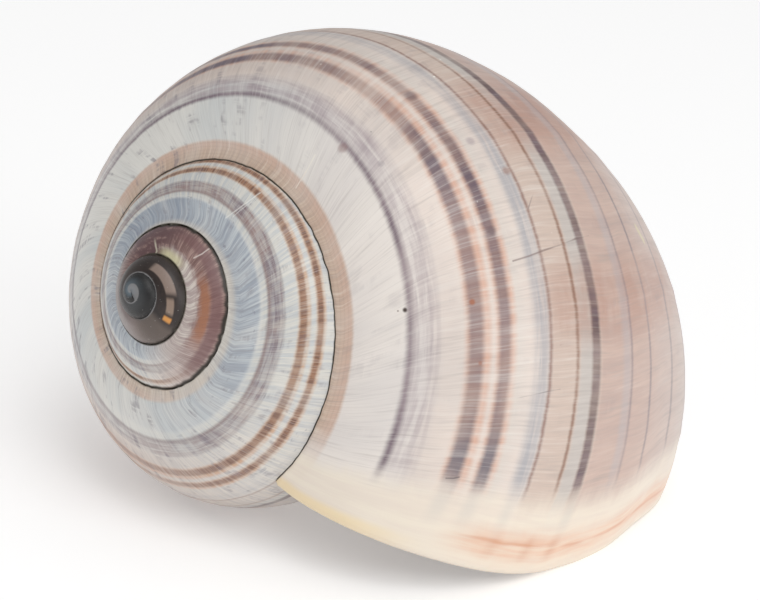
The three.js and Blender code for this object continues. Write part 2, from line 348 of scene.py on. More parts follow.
# rings face into the hollow
quads.append(np.stack([ringv[:-1, 1:], ringv[1:, 1:], ringv[1:, :-1], ringv[:-1, :-1]], -1).reshape(-1, 4))
quad_att.append(np.stack([ringa[:-1, 1:], ringa[1:, 1:], ringa[1:, :-1], ringa[:-1, :-1]], -1).reshape(-1, 4))
allv = np.concatenate(verts)
mid = add(allv[ringv[0, :-1]].mean(0))[0]
mid_a = add_att([[UC[0], 0, UC[0], 10, 99, 1]])[0]
for j in range(ringv.shape[1] - 1):
    tris.append((ringv[0, j + 1], ringv[0, j], mid))
    tri_att.append((ringa[0, j + 1], ringa[0, j], mid_a))

# the lip: rounded over from the outer edge to the mouth
RIM = JG - 1
aL = ANG[END]
ai = np.clip(aL, s1[last], start[last])
ri, zi, ui = inside(ai, LIP_U, thick[last])
inner = np.stack([ri * np.cos(TAU * ui), -ri * np.sin(TAU * ui), zi], -1)
outer = P[END].copy()
um = LIP_U + lip_back(aL)
tang = place(um + 1e-4, aL) - place(um, aL)
tang /= np.maximum(np.linalg.norm(tang, axis=-1, keepdims=True), 1e-9)
gap = np.linalg.norm(inner - outer, axis=-1, keepdims=True)
bulge = 0.40 * np.minimum(gap, 1.3) * smooth(np.hypot(outer[:, 0], outer[:, 1]) / 3)[:, None]
rims, rim_att = [], []
for k in range(1, RIM + 1):
    th = math.pi * k / (RIM + 1)
    pts = outer + (inner - outer) * (1 - math.cos(th)) / 2 + tang * bulge * math.sin(th)
    v = np.concatenate([[G[END - ROWS, J1 + k]], add(pts[1:])])
    rims.append(v)
    rim_att.append(add_att(np.stack([LIP_U + 0.001 * k + 0 * aL, aL, um, TOP[END], 99 + 0 * aL, 0.25 * k + 0 * aL], -1)))
rimv, rima = np.stack([G[END]] + rims), np.stack([AID[END]] + rim_att)
grid_faces(rimv, rima)


def zipper(o, oa, n, na):
    allp = np.concatenate(verts)

    def along(ix):
        s = np.r_[0, np.cumsum(np.linalg.norm(np.diff(allp[ix], axis=0), axis=1))]
        return s / max(s[-1], 1e-9)

    so, sn = along(o), along(n)
    i = j = 0
    while i < len(o) - 1 or j < len(n) - 1:
        if j == len(n) - 1 or (i < len(o) - 1 and so[i + 1] <= sn[j + 1]):
            t, ta = (n[j], o[i + 1], o[i]), (na[j], oa[i + 1], oa[i])
            i += 1
        else:
            t, ta = (n[j], n[j + 1], o[i]), (na[j], na[j + 1], oa[i])
            j += 1
        if len(set(t)) == 3:
            tris.append(t)
            tri_att.append(ta)


mouth, mouth_a = np.r_[VO[last, 0], VW[last]], np.r_[AOa[last, 0], AWa[last]]
zipper(rims[-1], rim_att[-1], mouth, mouth_a)
axis_rows = np.arange(END - 1, END - ROWS - 1, -1)
cols = np.arange(LAST - 1, NEAR - 1, -1)
ax = np.r_[[r[-1] for r in rims[::-1]], G[END, LAST], G[axis_rows, LAST], G[END - ROWS, cols]]


def columella_att(n):
    return add_att(np.stack([np.full(n, LIP_U), np.full(n, -2.9), np.full(n, 0.0), np.full(n, 30.0), np.full(n, 99.0), np.full(n, 3.0)], -1))


pil = np.r_[VW[last, -1], VC[last], VO[last, -1]]
zipper(ax, columella_att(len(ax)), pil, columella_att(len(pil)))

# ---- the Blender mesh -------------------------------------------------------------------------------
V = np.concatenate(verts)
A = np.concatenate(att)
Q, QA = np.concatenate(quads), np.concatenate(quad_att)
T, TA = np.array(tris), np.array(tri_att)
# a few quads at the seams have two corners in one place: they become triangles
rep = [(Q[:, k] == Q[:, (k + 1) % 4]) for k in range(4)]
bad = np.any(rep, axis=0)
extra, extra_a = [], []
for q, qa in zip(Q[bad], QA[bad]):
    ix = [k for k in range(4) if q[k] != q[(k + 1) % 4]]
    if len(ix) == 3:
        extra.append(q[ix])
        extra_a.append(qa[ix])
Q, QA = Q[~bad], QA[~bad]
if extra:
    T, TA = np.concatenate([T, extra]), np.concatenate([TA, extra_a])
used = np.unique(np.concatenate([Q.ravel(), T.ravel()]))
new = -np.ones(len(V), int)
new[used] = np.arange(len(used))
W = (V[used] @ REST.T + REST_SHIFT) / 1000
W[:, 2] = np.maximum(W[:, 2], 0.0)
Q, T = new[Q], new[T]

mesh = bpy.data.meshes.new("shell_skin")
mesh.vertices.add(len(W))
mesh.vertices.foreach_set("co", W.astype(np.float32).ravel())
loops = np.concatenate([Q.ravel(), T.ravel()])
mesh.loops.add(len(loops))
mesh.loops.foreach_set("vertex_index", loops.astype(np.int32))
starts = np.concatenate([np.arange(len(Q)) * 4, len(Q) * 4 + np.arange(len(T)) * 3])
mesh.polygons.add(len(Q) + len(T))
mesh.polygons.foreach_set("loop_start", starts.astype(np.int32))
mesh.update(calc_edges=True)
mesh.validate(verbose=False)
corner = np.concatenate([A[QA.ravel()], A[TA.ravel()]]).astype(np.float32)
if len(mesh.loops) == len(corner):
    for name, c in (("grow", corner[:, :3]), ("edge", corner[:, 3:])):
        a = mesh.attributes.new(name, "FLOAT_VECTOR", "CORNER")
        a.data.foreach_set("vector", np.ascontiguousarray(c).ravel())
else:
    raise RuntimeError("mesh.validate dropped faces")
a = mesh.attributes.new("rest", "FLOAT_VECTOR", "POINT")
a.data.foreach_set("vector", (W * 1000).astype(np.float32).ravel())
mesh.polygons.foreach_set("use_smooth", np.ones(len(mesh.polygons), bool))
mesh.set_sharp_from_angle(angle=math.radians(48))
vol = 0.0
tri_all = np.concatenate([Q[:, [0, 1, 2]], Q[:, [0, 2, 3]], T])
vol = float(np.einsum("ij,ij->i", W[tri_all[:, 0]], np.cross(W[tri_all[:, 1]], W[tri_all[:, 2]])).sum() / 6)
print("shell: %d triangles, %.2f cm3" % (len(tri_all), vol * 1e6))
shell = bpy.data.objects.new("shell_skin", mesh)
scene.collection.objects.link(shell)


# ---- material ---------------------------------------------------------------------------------------
def srgb(r, g, b):
    return tuple((c / 255 / 12.92) if c / 255 <= 0.04045 else ((c / 255 + 0.055) / 1.055) ** 2.4 for c in (r, g, b)) + (1.0,)


class Nodes:
    """Short names for shader nodes: each call makes one node and returns its output."""

    def __init__(self, tree):
        self.t = tree

    def put(self, socket, value):
        if isinstance(value, bpy.types.NodeSocket):
            self.t.links.new(value, socket)
        elif value is not None:
            socket.default_value = value

    def attribute(self, name):
        n = self.t.nodes.new("ShaderNodeAttribute")
        n.attribute_name = name
        s = self.t.nodes.new("ShaderNodeSeparateXYZ")
        self.t.links.new(n.outputs["Vector"], s.inputs[0])
        return n.outputs["Vector"], s.outputs[0], s.outputs[1], s.outputs[2]

    def math(self, op, a, b=None, c=None, clamp=False):
        n = self.t.nodes.new("ShaderNodeMath")
        n.operation, n.use_clamp = op, clamp
        for s, v in zip(n.inputs, (a, b, c)):
            self.put(s, v)
        return n.outputs[0]

    def add(self, a, b, clamp=False):
        return self.math("ADD", a, b, clamp=clamp)

    def sub(self, a, b):
        return self.math("SUBTRACT", a, b)

    def mul(self, a, b, clamp=False):
        return self.math("MULTIPLY", a, b, clamp=clamp)

    def mad(self, a, b, c):
        return self.math("MULTIPLY_ADD", a, b, c)

    def least(self, a, b):
        return self.math("MINIMUM", a, b)

    def most(self, a, b):
        return self.math("MAXIMUM", a, b)

    def step(self, x, e0, e1, lo=0.0, hi=1.0):
        """Smooth from lo at e0 to hi at e1; e0 may be the larger."""
        n = self.t.nodes.new("ShaderNodeMapRange")
        n.interpolation_type = "SMOOTHSTEP"
        if e0 > e1:
            e0, e1, lo, hi = e1, e0, hi, lo
        for s, v in zip(n.inputs, (x, e0, e1, lo, hi)):
            self.put(s, v)
        return n.outputs[0]

    def window(self, x, a, b, soft):
        return self.mul(self.step(x, a - soft, a + soft), self.step(x, b + soft, b - soft))

    def vec(self, x, y, z=0.0):
        n = self.t.nodes.new("ShaderNodeCombineXYZ")
        for s, v in zip(n.inputs, (x, y, z)):
            self.put(s, v)
        return n.outputs[0]

    def noise(self, v, scale=1.0, detail=2.0, rough=0.5, dist=0.0):
        n = self.t.nodes.new("ShaderNodeTexNoise")
        self.put(n.inputs["Vector"], v)
        n.inputs["Scale"].default_value = scale
        n.inputs["Detail"].default_value = detail
        n.inputs["Roughness"].default_value = rough
        n.inputs["Distortion"].default_value = dist
        return n.outputs["Fac"]

    def curve(self, x, points):
        """Soft curve through (x, value) points, x within their range."""
        lo, hi = points[0][0], points[-1][0]
        n = self.t.nodes.new("ShaderNodeValToRGB")
        n.color_ramp.interpolation = "EASE"
        e = n.color_ramp.elements
        while len(e) < len(points):
            e.new(0.5)
        for k, (p, v) in enumerate(points):
            e[k].position = (p - lo) / (hi - lo)
            e[k].color = (v, v, v, 1)
        self.put(n.inputs[0], self.math("MULTIPLY_ADD", x, 1 / (hi - lo), -lo / (hi - lo), clamp=True))
        s = self.t.nodes.new("ShaderNodeSeparateColor")
        self.t.links.new(n.outputs[0], s.inputs[0])
        return s.outputs[0]

    def vmath(self, op, a, b=None, scale=None, out=0):
        n = self.t.nodes.new("ShaderNodeVectorMath")
        n.operation = op
        self.put(n.inputs[0], a)
        if b is not None:
            self.put(n.inputs[1], b)
        if scale is not None:
            self.put(n.inputs["Scale"], scale)
        return n.outputs[out]

    def after(self, x, col):
        """x as it is, but worked out after col, so that few values are held at one time."""
        n = self.t.nodes.new("ShaderNodeVectorMath")
        n.operation = "MULTIPLY_ADD"
        for s, v in zip(n.inputs, (col, (1e-7, 1e-7, 1e-7), x)):
            self.put(s, v)
        return n.outputs[0]

    def near(self, x, p, q=None):
        """Distance from x to the point p, or to the straight stretch from p to q."""
        if q is None:
            return self.vmath("DISTANCE", x, p, out=1)
        v = [b - a for a, b in zip(p, q)]
        n2 = sum(c * c for c in v)
        w = self.vmath("SUBTRACT", x, p)
        f = self.math("ADD", self.vmath("DOT_PRODUCT", w, [c / n2 for c in v], out=1), 0.0, clamp=True)
        return self.vmath("LENGTH", self.vmath("SUBTRACT", w, self.vmath("SCALE", v, scale=f)), out=1)

    def mix(self, f, a, b, how="MIX"):
        n = self.t.nodes.new("ShaderNodeMix")
        n.data_type, n.blend_type, n.clamp_factor = "RGBA", how, True
        self.put(n.inputs[0], f)
        self.put(n.inputs[6], a)
        self.put(n.inputs[7], b)
        return n.outputs[2]


def shell_material():
    m = bpy.data.materials.new("banded_shell")
    m.use_nodes = True
    t = m.node_tree
    t.nodes.clear()
    N = Nodes(t)
    out = t.nodes.new("ShaderNodeOutputMaterial")
    bsdf = t.nodes.new("ShaderNodeBsdfPrincipled")
    t.links.new(bsdf.outputs[0], out.inputs[0])
    _, g, a, u = N.attribute("grow")
    _, top, low, reg = N.attribute("edge")
    rest = N.attribute("rest")[0]

    # noise along the growth lines: long across the whorl, short along the spiral
    gw = N.mad(N.noise(N.vec(N.mul(g, 9.0), N.mul(a, 3.0)), 1.0, 1.0), 0.006, g)
    broad = N.noise(N.vec(N.mul(gw, 14.0), N.mul(a, 0.8), 3.1), 1.0, 2.0, 0.6)
    streak = N.noise(N.vec(N.mul(gw, 120.0), N.mul(a, 1.6), 7.7), 1.0, 3.0, 0.62)
    fine = N.noise(N.vec(N.mul(gw, 330.0), N.mul(a, 3.0), 1.3), 1.0, 2.0, 0.65)
    patch = N.noise(N.vec(N.mul(gw, 30.0), N.mul(a, 9.0), 5.5), 1.0, 3.0, 0.6)
    cloud = N.noise(rest, 0.16, 3.0, 0.55)
    smear = N.noise(N.vec(N.mul(gw, 20.0), N.mul(a, 34.0), 6.1), 1.0, 3.0, 0.62)
    slow = N.noise(N.vec(N.mul(gw, 26.0), N.mul(a, 4.0), 11.3), 1.0, 2.0, 0.5)
    # band edges are a little ragged along the growth lines
    hair = N.noise(N.vec(N.mul(gw, 900.0), N.mul(a, 4.0), 2.2), 1.0, 2.0, 0.6)
    ragged = N.mul(N.sub(N.noise(N.vec(N.mul(gw, 420.0), N.mul(a, 5.0), 9.9), 1.0, 2.0, 0.7), 0.5), 0.009)
    ab = N.add(a, ragged)
    uc = N.most(u, -0.30)

    def line(c0, c1, x=u, y=ab):
        """Distance below a spiral line at angle c0 + c1 x, in radians (positive towards the suture above)."""
        return N.sub(N.sub(y, c0), N.mul(x, c1))

    # ---- ground of the last whorl
    tan_edge = line(1.130, -0.106)
    white = N.mix(N.step(g, -0.40, -0.15), srgb(227, 225, 219), srgb(234, 226, 219))
    bluish = N.mix(N.step(g, -0.42, -0.22), srgb(207, 210, 209), srgb(224, 217, 212))
    ground = N.mix(N.step(broad, 0.40, 0.62), white, bluish)
    creamy = srgb(227, 213, 203)
    low_part = N.step(line(0.80, -0.05), 0.05, -0.06)
    ground = N.mix(low_part, ground, N.mix(N.step(cloud, 0.35, 0.65), creamy, srgb(218, 206, 198)))
    ground = N.mix(N.mul(N.window(line(0.435, -0.05), -0.02, 0.03, 0.03), 0.35), ground, srgb(206, 200, 192))
    beige = srgb(208, 188, 175)
    ground = N.mix(N.step(line(0.290, -0.04), 0.02, -0.02), ground, beige)
    ground = N.mix(N.window(line(0.135, -0.10, uc), -0.088, -0.012, 0.012), ground, srgb(198, 189, 182))
    mauve = N.mix(N.step(streak, 0.35, 0.65), srgb(206, 180, 167), srgb(196, 170, 159))
    below_g = N.step(line(0.010, -0.19, uc), -0.02, -0.05)
    ground = N.mix(below_g, ground, mauve)
    ground = N.mix(N.mul(N.step(a, -0.35, -1.0), 0.75), ground, srgb(208, 194, 186))
    # where growth rested the ground is redder
    rests = N.most(N.mul(N.window(g, -0.235, -0.190, 0.016), 0.85), N.mul(N.window(g, -0.125, -0.090, 0.012), 0.7))
    rests = N.most(rests, N.mul(N.window(g, -0.62, -0.56, 0.02), 0.5))
    rests = N.mul(N.mul(rests, N.step(a, 0.45, 0.15)), N.step(a, -1.25, -0.60))
    ground = N.mix(N.mul(rests, N.step(patch, 0.25, 0.6, 0.35, 1.0)), ground, srgb(186, 146, 130))
    # the hinder half of the last whorl is duller and browner below its white zone
    ground = N.mix(N.mul(N.mul(N.window(g, -0.86, -0.34, 0.08), N.step(a, 0.86, 0.72)), N.mul(N.step(a, -1.0, -0.2), 0.50)), ground, srgb(178, 160, 152))
    # the old whorls' blue-grey zone
    old = N.step(u, -0.72, -1.12)
    strands = N.add(N.mul(streak, 0.45), N.mul(fine, 0.55))
    blue = N.mix(N.step(strands, 0.40, 0.60), srgb(189, 196, 201), srgb(154, 162, 174))
    blue = N.mix(N.mul(N.window(u, -1.55, -1.36, 0.05), 0.50), blue, srgb(122, 136, 155))
    blue_zone = N.mul(N.mul(old, N.step(line(0.955, -0.06), -0.02, 0.03)), N.step(u, -2.0, -1.8))
    ground = N.mix(N.mul(blue_zone, N.step(broad, 0.22, 0.5, 0.55, 1.0)), ground, blue)
    ground = N.mix(N.mul(N.mul(old, N.step(line(0.955, -0.06), 0.02, -0.03)), N.step(u, -2.0, -1.8)), ground, N.mix(N.step(strands, 0.42, 0.58), srgb(211, 209, 202), srgb(194, 197, 198)))
    ink = N.noise(N.vec(N.mul(gw, 62.0), N.mul(a, 22.0), 8.4), 1.0, 2.0, 0.55)
    ground = N.mix(N.mul(N.mul(N.step(ink, 0.68, 0.76), 0.48), N.mul(old, N.step(u, -2.0, -1.8))), ground, srgb(122, 122, 136))
    # tan band below the suture, with three faint spiral lines in it
    tan = N.mix(N.step(fine, 0.35, 0.65), srgb(205, 182, 162), srgb(194, 168, 149))
    tan = N.mix(N.step(tan_edge, 0.075, 0.015), tan, srgb(208, 178, 160))
    ripple = N.math("SINE", N.mul(ab, 330.0))
    tan = N.mix(N.step(ripple, 0.2, 1.0, 0.0, 0.16), tan, srgb(165, 134, 115))
    tan = N.mix(N.mul(old, 0.88), tan, srgb(219, 211, 196))
    in_tan = N.mul(N.step(N.mul(tan_edge, N.mad(old, -0.68, 1.0)), -0.010, 0.012), N.step(u, -2.05, -1.75))
    ground = N.mix(N.mul(N.mul(in_tan, N.step(g, -0.012, -0.05, 0.35, 1.0)), N.mul(N.mad(old, -0.35, 1.0), N.mad(N.step(slow, 0.30, 0.62), 0.22, 0.78))), ground, tan)

    # ---- streaks along the growth lines
    dark_streak = N.step(streak, 0.60, 0.80)
    ground = N.mix(N.mul(dark_streak, N.step(broad, 0.35, 0.65, 0.08, 0.34)), ground, srgb(158, 156, 160))
    ground = N.mix(N.mul(N.step(fine, 0.52, 0.80), 0.30), ground, srgb(166, 156, 150))
    # pale dashes along the growth lines: partly real striae, partly painted highlight on their ridges
    ground = N.mix(N.mul(N.step(fine, 0.46, 0.22), N.step(a, -0.05, 0.30, 0.10, 0.28)), ground, srgb(238, 233, 226))
    ground = N.mix(N.mul(N.step(hair, 0.50, 0.72), N.step(u, -2.0, -1.7, 0.0, 0.20)), ground, srgb(168, 160, 156))

    # ---- bands: (angle at the lip, change a turn, half width, softness, colour young, colour old, strength)
    fade = N.step(N.mad(N.sub(patch, 0.5), 0.012, g), -0.004, -0.026)
    shown = N.mul(fade, N.step(u, -2.15, -1.75))
    jitter = N.mul(N.step(fine, 0.30, 0.70, 0.90, 1.05), N.step(slow, 0.28, 0.62, 0.66, 1.06))
    warm = N.step(u, -0.55, -1.15)

    def strength(points):
        return N.curve(g, points)

    col = ground
    # smudgy pale purple band under the white zone, and its dark upper edge
    smudge = N.window(line(0.842, -0.060), -0.062, 0.045, 0.020)
    k = strength(((-1.6, 0.80), (-1.2, 0.90), (-0.95, 0.70), (-0.62, 0.45), (-0.5, 0.60), (-0.36, 0.66), (-0.28, 0.58), (-0.18, 0.52), (-0.06, 0.46), (0.03, 0.2)))
    blot = N.mul(N.most(N.step(smear, 0.34, 0.62, 0.34, 1.0), N.mul(warm, 0.62)), N.step(streak, 0.30, 0.66, 0.66, 1.1))
    purple = N.mix(N.step(slow, 0.34, 0.60), srgb(166, 148, 152), srgb(146, 126, 136))
    brown = N.mix(N.step(slow, 0.34, 0.60), srgb(148, 122, 118), srgb(118, 100, 108))
    col = N.mix(N.mul(N.mul(N.mul(smudge, k), blot), shown), col, N.mix(warm, purple, brown))
    for c0, s in ((0.862, 0.16), (0.812, 0.22), (0.772, 0.26)):
        col = N.mix(N.mul(N.mul(N.window(line(c0, -0.06), -0.008, 0.008, 0.016), N.step(smear, 0.32, 0.60, 0.2 * s, 1.5 * s)), N.mul(shown, N.step(g, -0.28, -0.45, 0.5, 1.0))), col, N.mix(warm, srgb(150, 136, 144), srgb(120, 98, 102)))
    k = strength(((-1.6, 0.75), (-1.1, 0.70), (-0.75, 0.6), (-0.48, 0.9), (-0.38, 0.95), (-0.29, 0.55), (-0.25, 0.74), (-0.2, 0.92), (-0.12, 0.82), (0.0, 0.92), (0.03, 0.8)))
    col = N.mix(N.mul(N.mul(N.mul(N.window(line(0.894, -0.058), -0.016, 0.012, 0.015), k), shown), N.mad(jitter, 0.5, 0.5)), col, N.mix(warm, N.mix(N.step(slow, 0.34, 0.60), srgb(122, 100, 112), srgb(104, 84, 98)), srgb(128, 100, 98)))
    # the two wide ones, each with an orange lower edge
    for c0, c1, half, rim, points in (
        (0.624, -0.060, 0.031, 0.032, ((-1.6, 0.9), (-1.0, 0.85), (-0.72, 0.5), (-0.5, 0.62), (-0.38, 0.95), (-0.29, 0.72), (-0.25, 0.45), (-0.205, 0.90), (-0.15, 0.62), (-0.09, 0.62), (-0.02, 0.85))),
        (0.503, -0.050, 0.026, 0.022, ((-1.6, 0.95), (-1.0, 0.9), (-0.72, 0.5), (-0.5, 0.7), (-0.38, 0.95), (-0.27, 0.8), (-0.24, 0.55), (-0.195, 0.98), (-0.14, 0.70), (-0.07, 0.66), (-0.02, 0.92))),
    ):
        k = strength(points)
        d = N.mul(line(c0, c1), N.step(u, -0.55, -1.10, 1.0, 1.12))
        col = N.mix(N.mul(N.mul(N.window(d, -half - rim, half + 0.012, 0.016), N.mul(N.step(strands, 0.38, 0.60, 0.26, 0.72), N.step(slow, 0.30, 0.60, 0.50, 1.1))), shown), col, N.mix(warm, srgb(213, 164, 139), srgb(200, 154, 112)))
        young = N.mix(N.step(slow, 0.34, 0.60), srgb(126, 96, 90), srgb(100, 84, 96))
        young = N.mix(N.mul(N.step(streak, 0.46, 0.68), 0.7), young, srgb(92, 70, 76))
        young = N.mix(N.window(g, -0.045, 0.0, 0.02), young, srgb(108, 104, 114))
        col = N.mix(N.mul(N.mul(N.mul(N.window(d, -half, half, 0.015), k), shown), jitter), col, N.mix(warm, young, N.mix(N.step(strands, 0.42, 0.58), srgb(152, 106, 74), srgb(112, 76, 60))))
    # grey-blue veil and the thin brown line under it
    k = strength(((-1.2, 0.2), (-0.6, 0.3), (-0.33, 0.5), (-0.24, 0.5), (-0.17, 0.75), (-0.07, 0.6), (-0.02, 0.8), (0.03, 0.4)))
    col = N.mix(N.mul(N.mul(N.mul(N.window(line(0.355, -0.05), -0.055, 0.012, 0.026), k), shown), N.step(smear, 0.32, 0.60, 0.45, 1.0)), col, srgb(160, 161, 168))
    k = strength(((-1.2, 0.5), (-0.6, 0.6), (-0.4, 0.7), (-0.22, 0.95), (-0.12, 0.7), (-0.02, 0.8), (0.03, 0.5)))
    col = N.mix(N.mul(N.mul(N.mul(N.window(line(0.293, -0.03), -0.008, 0.007, 0.009), k), shown), jitter), col, srgb(140, 104, 92))
    k = strength(((-1.2, 0.5), (-0.6, 0.6), (-0.3, 0.7), (-0.20, 0.98), (-0.12, 0.85), (-0.02, 0.8), (0.03, 0.5)))
    col = N.mix(N.mul(N.mul(N.mul(N.window(line(0.137, -0.12, uc), -0.009, 0.008, 0.009), k), shown), jitter), col, srgb(142, 106, 88))
    k = strength(((-1.2, 0.7), (-0.6, 0.75), (-0.3, 0.78), (-0.21, 1.0), (-0.16, 0.88), (-0.105, 1.0), (-0.05, 0.8), (-0.01, 0.95), (0.03, 0.8)))
    col = N.mix(N.mul(N.mul(N.mul(N.window(line(0.012, -0.18, uc), -0.026, 0.026, 0.013), k), shown), jitter), col, N.mix(N.step(streak, 0.35, 0.65), srgb(104, 82, 90), srgb(98, 76, 76)))
    for c0, c1, half, s in ((-0.275, -0.30, 0.008, 0.62), (-0.470, -0.42, 0.009, 0.80), (-0.722, -0.12, 0.010, 0.62), (-0.93, -0.10, 0.012, 0.45), (-1.22, -0.10, 0.020, 0.60), (-1.55, -0.10, 0.016, 0.5), (-1.90, -0.10, 0.022, 0.55)):
        col = N.mix(N.mul(N.mul(N.mul(N.window(line(c0, c1, uc), -half, half, 0.011), s), shown), jitter), col, srgb(134, 118, 124))
    col = N.mix(N.mul(N.mul(N.window(line(-0.235, -0.30, uc), -0.03, 0.03, 0.02), 0.30), shown), col, srgb(176, 178, 186))

    # dark streaks along the growth lines, over the bands too
    strokes = N.mul(N.step(N.noise(N.vec(N.mul(gw, 95.0), N.mul(a, 5.0), 14.7), 1.0, 2.0, 0.6), 0.56, 0.70), N.step(smear, 0.36, 0.58))
    k = strength(((-2.1, 0.35), (-1.7, 0.40), (-1.2, 0.32), (-0.80, 0.55), (-0.62, 0.66), (-0.40, 0.52), (-0.30, 0.16), (-0.10, 0.12), (0.0, 0.0)))
    col = N.mix(N.mul(strokes, k), col, srgb(118, 108, 120))
    # fine pale striae across everything: partly real, partly painted highlight on the growth lines
    col = N.mix(N.mul(N.mul(N.step(hair, 0.50, 0.34), N.step(u, -2.0, -1.7, 0.0, 0.17)), N.step(a, -0.05, 0.25, 0.4, 1.0)), col, srgb(234, 229, 223))

    # ---- new growth at the lip: cream, with a yellow to orange margin
    new_part = N.step(N.mad(N.sub(patch, 0.5), 0.014, g), -0.020, 0.000)
    cream = N.mix(N.step(streak, 0.35, 0.65), srgb(240, 229, 212), srgb(234, 221, 206))
    # the bands go on under it as faint grey shadows
    shadow = N.mul(0.0, 1.0)
    for c0, half in ((0.628, 0.030), (0.506, 0.028), (0.340, 0.024), (0.012, 0.030)):
        shadow = N.most(shadow, N.window(line(c0, 0.0, y=a), -half, half, 0.024))
    cream = N.mix(N.mul(N.mul(shadow, N.step(g, 0.016, -0.006)), 0.42), cream, srgb(206, 202, 194))
    col = N.mix(N.mul(new_part, 0.90), col, cream)
    # yellow edge near the suture, soft orange where the bands reach the edge
    margin = N.step(N.mad(N.sub(cloud, 0.5), 0.008, g), 0.0190, 0.0260)
    col = N.mix(N.mul(N.mul(margin, N.step(a, 0.55, 0.95)), 0.56), col, srgb(241, 214, 156))
    warm_edge = N.mul(N.window(N.mad(N.sub(patch, 0.5), 0.008, g), 0.0085, 0.0215, 0.008), N.mul(N.step(a, 0.62, 0.36), N.step(a, -1.3, -0.7)))
    col = N.mix(N.mul(warm_edge, N.step(strands, 0.35, 0.62, 0.30, 0.72)), col, srgb(229, 172, 136))
    for c0, s in ((0.325, 0.55), (0.155, 0.70), (0.015, 0.75)):
        spot = N.mul(N.window(line(c0, 0.0, y=a), -0.022, 0.022, 0.028), N.window(g, 0.012, 0.019, 0.008))
        col = N.mix(N.mul(spot, N.mul(N.step(strands, 0.35, 0.60, 0.5, 1.0), s)), col, srgb(204, 140, 106))
    thin = N.mul(N.window(N.mad(N.sub(slow, 0.5), 0.008, N.mad(a, 0.0035, g)), 0.0135, 0.0152, 0.0016), N.mul(N.step(a, 0.55, 0.35), N.step(a, -1.2, -0.7)))
    col = N.mix(N.mul(thin, N.step(strands, 0.38, 0.60, 0.05, 0.60)), col, srgb(208, 144, 108))

    # ---- third whorl: mauve brown with an orange-brown patch
    third = N.mul(N.step(u, -1.85, -2.02), N.step(u, -3.12, -2.98))
    c3 = N.mix(N.step(strands, 0.38, 0.60), srgb(168, 140, 132), srgb(116, 88, 84))
    pale3 = N.mix(N.step(strands, 0.40, 0.60), srgb(208, 196, 191), srgb(178, 157, 152))
    c3 = N.mix(N.mul(N.window(u, -2.02, -1.62, 0.07), N.step(broad, 0.30, 0.6, 0.55, 1.0)), c3, pale3)
    inner3 = N.step(N.add(a, N.mul(N.sub(patch, 0.5), 0.25)), 0.98, 1.14)
    c3 = N.mix(N.mul(inner3, N.window(u, -2.38, -1.98, 0.06)), c3, N.mix(N.step(streak, 0.35, 0.6), srgb(216, 207, 198), srgb(178, 162, 158)))
    c3 = N.mix(N.mul(N.mul(N.window(N.add(a, N.mul(N.sub(patch, 0.5), 0.12)), 0.85, 1.02, 0.05), N.window(N.mad(N.sub(streak, 0.5), 0.05, u), -2.19, -2.04, 0.035)), 0.9), c3, srgb(158, 106, 78))
    c3 = N.mix(N.mul(N.window(a, 0.66, 0.84, 0.04), N.mul(N.window(u, -2.36, -1.95, 0.06), 0.75)), c3, srgb(116, 82, 82))
    c3 = N.mix(N.mul(N.window(u, -2.52, -2.34, 0.05), N.step(patch, 0.25, 0.5)), c3, srgb(96, 68, 70))
    c3 = N.mix(N.mul(N.window(u, -3.0, -2.58, 0.06), 0.85), c3, N.mix(N.step(a, 0.95, 1.15), srgb(150, 142, 140), srgb(126, 114, 112)))
    c3 = N.mix(N.mul(N.mul(N.window(g, -2.388, -2.382, 0.0035), N.step(a, 0.86, 1.12)), 0.75), c3, srgb(222, 217, 194))
    c3 = N.mix(N.mul(N.window(u, -2.36, -2.26, 0.03), N.mul(N.step(a, 1.05, 1.2), 0.8)), c3, srgb(214, 208, 166))
    c3 = N.mix(N.mul(N.step(hair, 0.52, 0.70), 0.35), c3, srgb(104, 78, 78))
    c3 = N.mix(N.mul(N.step(low, 0.30, 0.05), 0.7), c3, srgb(100, 76, 60))
    # ---- innermost whorls: near black, with taupe windows; the first turns carry painted light and shade, a grey-blue highlight on the ridge
    c4 = N.mix(N.step(patch, 0.3, 0.7), srgb(34, 24, 21), srgb(46, 34, 30))
    c4 = N.mix(N.mul(N.window(u, -3.32, -3.15, 0.015), N.window(N.add(a, N.mul(u, 0.8)), -1.96, -1.62, 0.03)), c4, srgb(134, 116, 106))
    c4 = N.mix(N.mul(N.window(u, -3.13, -3.065, 0.012), N.window(N.add(a, N.mul(u, 0.8)), -1.86, -1.62, 0.03)), c4, srgb(138, 118, 104))
    c4 = N.mix(N.mul(N.window(u, -3.052, -3.030, 0.006), N.window(a, 0.58, 0.84, 0.03)), c4, srgb(206, 142, 70))
    c4 = N.mix(N.step(u, -3.04, -2.99), c4, srgb(92, 80, 73))
    c4 = N.mix(N.step(u, -2.95, -2.80), c4, srgb(124, 108, 102))
    c4 = N.mix(N.mul(N.window(u, -3.80, -3.45, 0.10), 0.65), c4, srgb(78, 70, 67))
    # the first turns: painted grey-blue highlight on the crests, painted black shade on the flanks going down into the
    # suture
    crest_highlight = N.mix(N.step(u, -4.1, -4.7), srgb(52, 54, 56), srgb(96, 110, 119))
    across = N.math("DIVIDE", low, N.add(N.add(low, top), 0.02))
    lit_crest_shaded_flank = N.mix(N.step(across, 0.30, 0.92), srgb(13, 11, 12), crest_highlight)
    c4 = N.mix(N.step(u, -3.55, -3.95), c4, lit_crest_shaded_flank)
    # painted highlight: a pale grey line along the lit edge of each early whorl, just below the suture above
    c4 = N.mix(N.mul(N.step(top, 0.15, 0.04), N.mul(N.step(u, -2.75, -3.0), 0.75)), c4, srgb(140, 139, 140))
    c4 = N.mix(N.mul(N.step(N.noise(rest, 6.5, 1.0), 0.74, 0.77), 0.6), c4, srgb(186, 184, 180))
    dark = N.step(u, -2.78, -2.90)
    col = N.mix(third, col, c3)
    col = N.mix(dark, col, c4)

